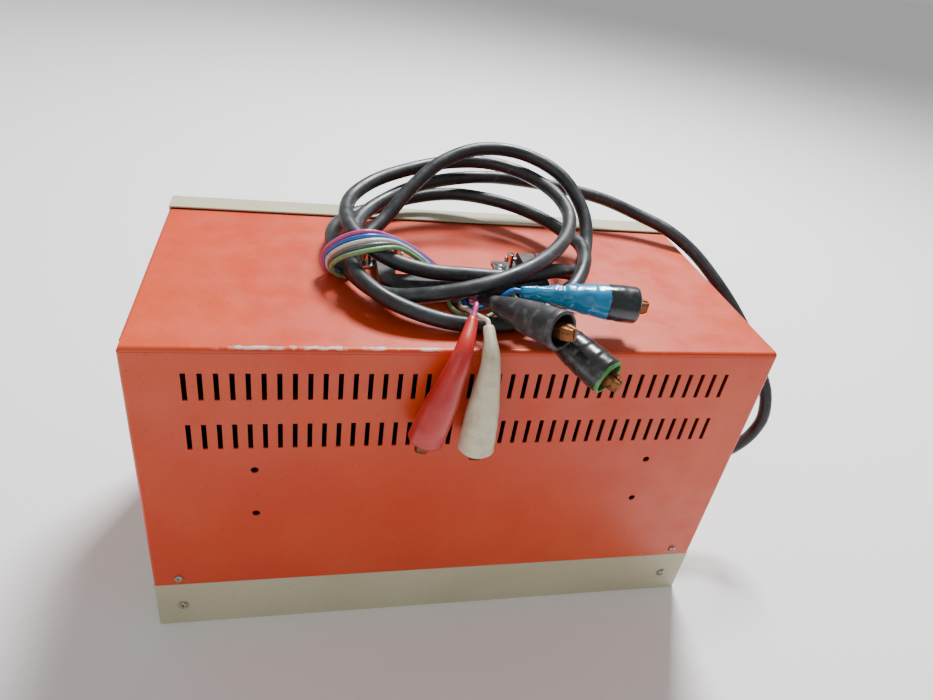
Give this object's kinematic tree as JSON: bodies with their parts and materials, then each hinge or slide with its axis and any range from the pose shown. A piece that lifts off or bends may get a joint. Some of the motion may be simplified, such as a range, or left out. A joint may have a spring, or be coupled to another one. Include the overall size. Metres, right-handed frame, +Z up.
{
  "type": "stick welder",
  "caption": "Cabinet-type arc welding power source with a folding handle, vented back and a coiled multi-core lead ending in insulated crocodile clips.",
  "frame": {"origin": "middle of the underside of the base tray", "axes": "+X along the cabinet to the end with the cable gland, +Y out of the control panel (the vented back faces -Y), +Z up"},
  "size_m": [0.6755, 0.3648, 0.4221],
  "materials": {
    "vermilion_paint": "gloss, sun-faded and scratched",
    "cream_paint": "semi-gloss, grimy near the edges",
    "screw_zinc": "plated, slightly rusty",
    "bracket_chrome": "polished, worn",
    "pin_steel": "satin",
    "handle_plastic": "moulded black, dusty",
    "lead_rubber": "dusty black with a grey sheen",
    "gland_rubber": "matt black",
    "frame_steel": "plain sheet steel",
    "lamination_steel": "varnished laminations",
    "winding_copper": "enamelled copper",
    "heatsink_aluminium": "extruded fins",
    "phenolic": "moulded brown",
    "panel_black": "moulded black",
    "dial_aluminium": "anodised plate",
    "lamp_green": "tinted lens",
    "lamp_amber": "tinted lens",
    "boot_red": "soft vinyl, scuffed",
    "boot_white": "aged ivory vinyl",
    "boot_black": "dusty rubber",
    "boot_blue": "blue and black tape wraps",
    "boot_green": "green vinyl under black tape",
    "core_pink": "insulation",
    "core_blue": "insulation",
    "core_white": "insulation",
    "core_grey": "insulation",
    "core_green": "insulation",
    "jaw_copper": "tarnished copper-plated steel"
  },
  "bodies": {
    "cabinet": {"base_tray": "cream_paint", "chassis": "frame_steel", "rear_panel": "vermilion_paint", "cover": "vermilion_paint", "front_bezel": "cream_paint", "front_panel": "cream_paint", "ammeter": "panel_black", "switch_plate": "dial_aluminium", "switch_body": "phenolic", "current_dial": "dial_aluminium", "power_lamp": "lamp_green", "overheat_lamp": "lamp_amber", "output_socket_negative": "panel_black", "output_socket_positive": "panel_black", "transformer_core": "lamination_steel", "transformer_winding_1": "winding_copper", "transformer_winding_2": "winding_copper", "transformer_winding_3": "winding_copper", "reactor_core": "lamination_steel", "reactor_winding": "winding_copper", "rectifier": "heatsink_aluminium", "fan_frame": "panel_black", "terminal_block": "phenolic", "cable_gland": "gland_rubber", "gland_nut": "panel_black", "supply_cable": "lead_rubber", "rear_panel_screw_left": "screw_zinc", "base_tray_screw_left": "screw_zinc", "handle_bracket_left": "bracket_chrome", "handle_pin_left": "pin_steel", "rear_panel_screw_right": "screw_zinc", "base_tray_screw_right": "screw_zinc", "handle_bracket_right": "bracket_chrome", "handle_pin_right": "pin_steel", "pink_core": "core_pink", "blue_core": "core_blue", "white_core": "core_white", "grey_core": "core_grey", "green_core": "core_green", "red_boot": "boot_red", "red_fixed_jaw": "jaw_copper", "blue_boot": "boot_blue", "blue_fixed_jaw": "jaw_copper", "white_boot": "boot_white", "white_fixed_jaw": "jaw_copper", "black_boot": "boot_black", "black_fixed_jaw": "jaw_copper", "green_boot": "boot_green", "green_fixed_jaw": "jaw_copper"},
    "carrying_handle": {"handle": "handle_plastic"},
    "mode_switch": {"switch_knob": "panel_black"},
    "current_control": {"current_knob": "panel_black"},
    "fan": {"fan_rotor": "panel_black"},
    "red_jaw": {"red_moving_jaw": "jaw_copper"},
    "blue_jaw": {"blue_moving_jaw": "jaw_copper"},
    "white_jaw": {"white_moving_jaw": "jaw_copper"},
    "black_jaw": {"black_moving_jaw": "jaw_copper"},
    "green_jaw": {"green_moving_jaw": "jaw_copper"}
  },
  "joints": [
    {"name": "handle_fold", "type": "hinge", "parent": "cabinet", "child": "carrying_handle", "pos_m": [0, 0.022, 0.3414], "axis": [-1, 0, 0], "range_deg": [0, 90], "deforming": ["supply_cable", "pink_core", "blue_core", "white_core", "grey_core", "green_core"]},
    {"name": "mode_switch_turn", "type": "hinge", "parent": "cabinet", "child": "mode_switch", "pos_m": [0.16, 0.16, 0.118], "axis": [0, 1, 0], "range_deg": [0, 90]},
    {"name": "current_knob_turn", "type": "hinge", "parent": "cabinet", "child": "current_control", "pos_m": [-0.07, 0.16, 0.205], "axis": [0, 1, 0], "range_deg": [-135, 135]},
    {"name": "fan_spin", "type": "hinge", "parent": "cabinet", "child": "fan", "pos_m": [0.15, -0.092, 0.254], "axis": [0, 1, 0], "continuous": true},
    {"name": "red_jaw_open", "type": "hinge", "parent": "cabinet", "child": "red_jaw", "pos_m": [-0.03617, -0.14451, 0.27872], "axis": [0.9596, -0.0003, -0.2812], "range_deg": [0, 9], "stiffness_Nm_per_rad": 0.5, "springref_deg": -11.46},
    {"name": "blue_jaw_open", "type": "hinge", "parent": "cabinet", "child": "blue_jaw", "pos_m": [0.10924, -0.09746, 0.36401], "axis": [0.0357, -0.0045, 0.9994], "range_deg": [0, 9], "stiffness_Nm_per_rad": 0.5, "springref_deg": -11.46},
    {"name": "white_jaw_open", "type": "hinge", "parent": "cabinet", "child": "white_jaw", "pos_m": [0.00262, -0.14524, 0.2709], "axis": [0.9998, -0.0018, -0.0219], "range_deg": [0, 9], "stiffness_Nm_per_rad": 0.5, "springref_deg": -11.46},
    {"name": "black_jaw_open", "type": "hinge", "parent": "cabinet", "child": "black_jaw", "pos_m": [0.03723, -0.13326, 0.36543], "axis": [-0.0998, 0.172, 0.98], "range_deg": [0, 9], "stiffness_Nm_per_rad": 0.5, "springref_deg": -11.46},
    {"name": "green_jaw_open", "type": "hinge", "parent": "cabinet", "child": "green_jaw", "pos_m": [0.07927, -0.14655, 0.33968], "axis": [0.1164, -0.1662, 0.9792], "range_deg": [0, 9], "stiffness_Nm_per_rad": 0.5, "springref_deg": -11.46}
  ]
}
